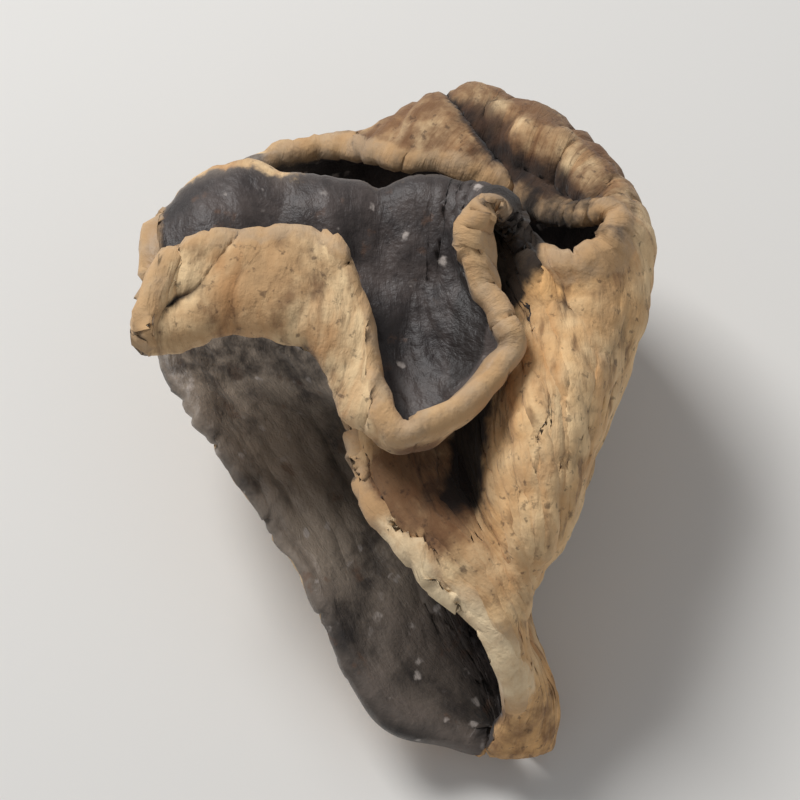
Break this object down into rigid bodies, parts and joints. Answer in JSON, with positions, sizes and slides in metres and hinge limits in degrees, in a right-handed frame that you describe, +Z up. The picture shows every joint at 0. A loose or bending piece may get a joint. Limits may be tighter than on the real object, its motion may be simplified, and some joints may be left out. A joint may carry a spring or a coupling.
{
  "type": "dried wood ear mushroom",
  "caption": "Dried wood ear mushroom: a thin crumpled cup with a folded collar, a rolled tan margin, a dark inner face and a small cut foot.",
  "frame": {"origin": "centre of the bounding box's bottom, on the surface the ear lies on", "axes": "+Z up, +Y from the cut foot towards the margin, the folded collar faces +Z and -Y"},
  "size_m": [0.0202, 0.0266, 0.0162],
  "materials": {
    "flesh": "matte, dark grey inside, tan outside"
  },
  "bodies": {
    "root": {"wood_ear": "flesh"}
  },
  "joints": []
}
